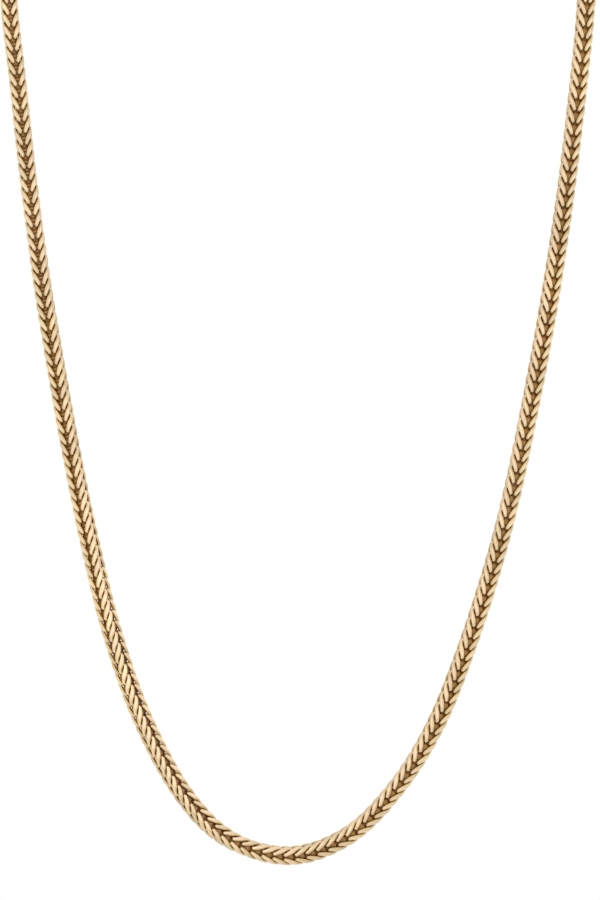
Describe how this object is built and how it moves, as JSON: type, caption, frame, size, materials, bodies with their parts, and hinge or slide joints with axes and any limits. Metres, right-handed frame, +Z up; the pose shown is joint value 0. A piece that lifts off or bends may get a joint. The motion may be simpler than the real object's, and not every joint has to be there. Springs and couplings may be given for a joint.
{
  "type": "wheat chain necklace",
  "caption": "Square wheat chain necklace hanging in its worn form: a closed loop with end caps, a jump ring and a plain ring clasp behind the neck.",
  "frame": {"origin": "the middle of the nape, where the fastening lies on the back of the neck", "axes": "+Z up along the hanging chain, +Y backwards away from the nape, +X to the viewer's right when seen from the front"},
  "size_m": [0.1039, 0.05, 0.1761],
  "materials": {
    "chain_gold": "polished gold links with darkened hollows",
    "fastening_gold": "polished gold"
  },
  "bodies": {
    "root": {"chain_left": "chain_gold", "chain_right": "chain_gold", "end_cap_left": "fastening_gold", "end_cap_right": "fastening_gold", "jump_ring": "fastening_gold", "clasp": "fastening_gold"}
  },
  "joints": []
}
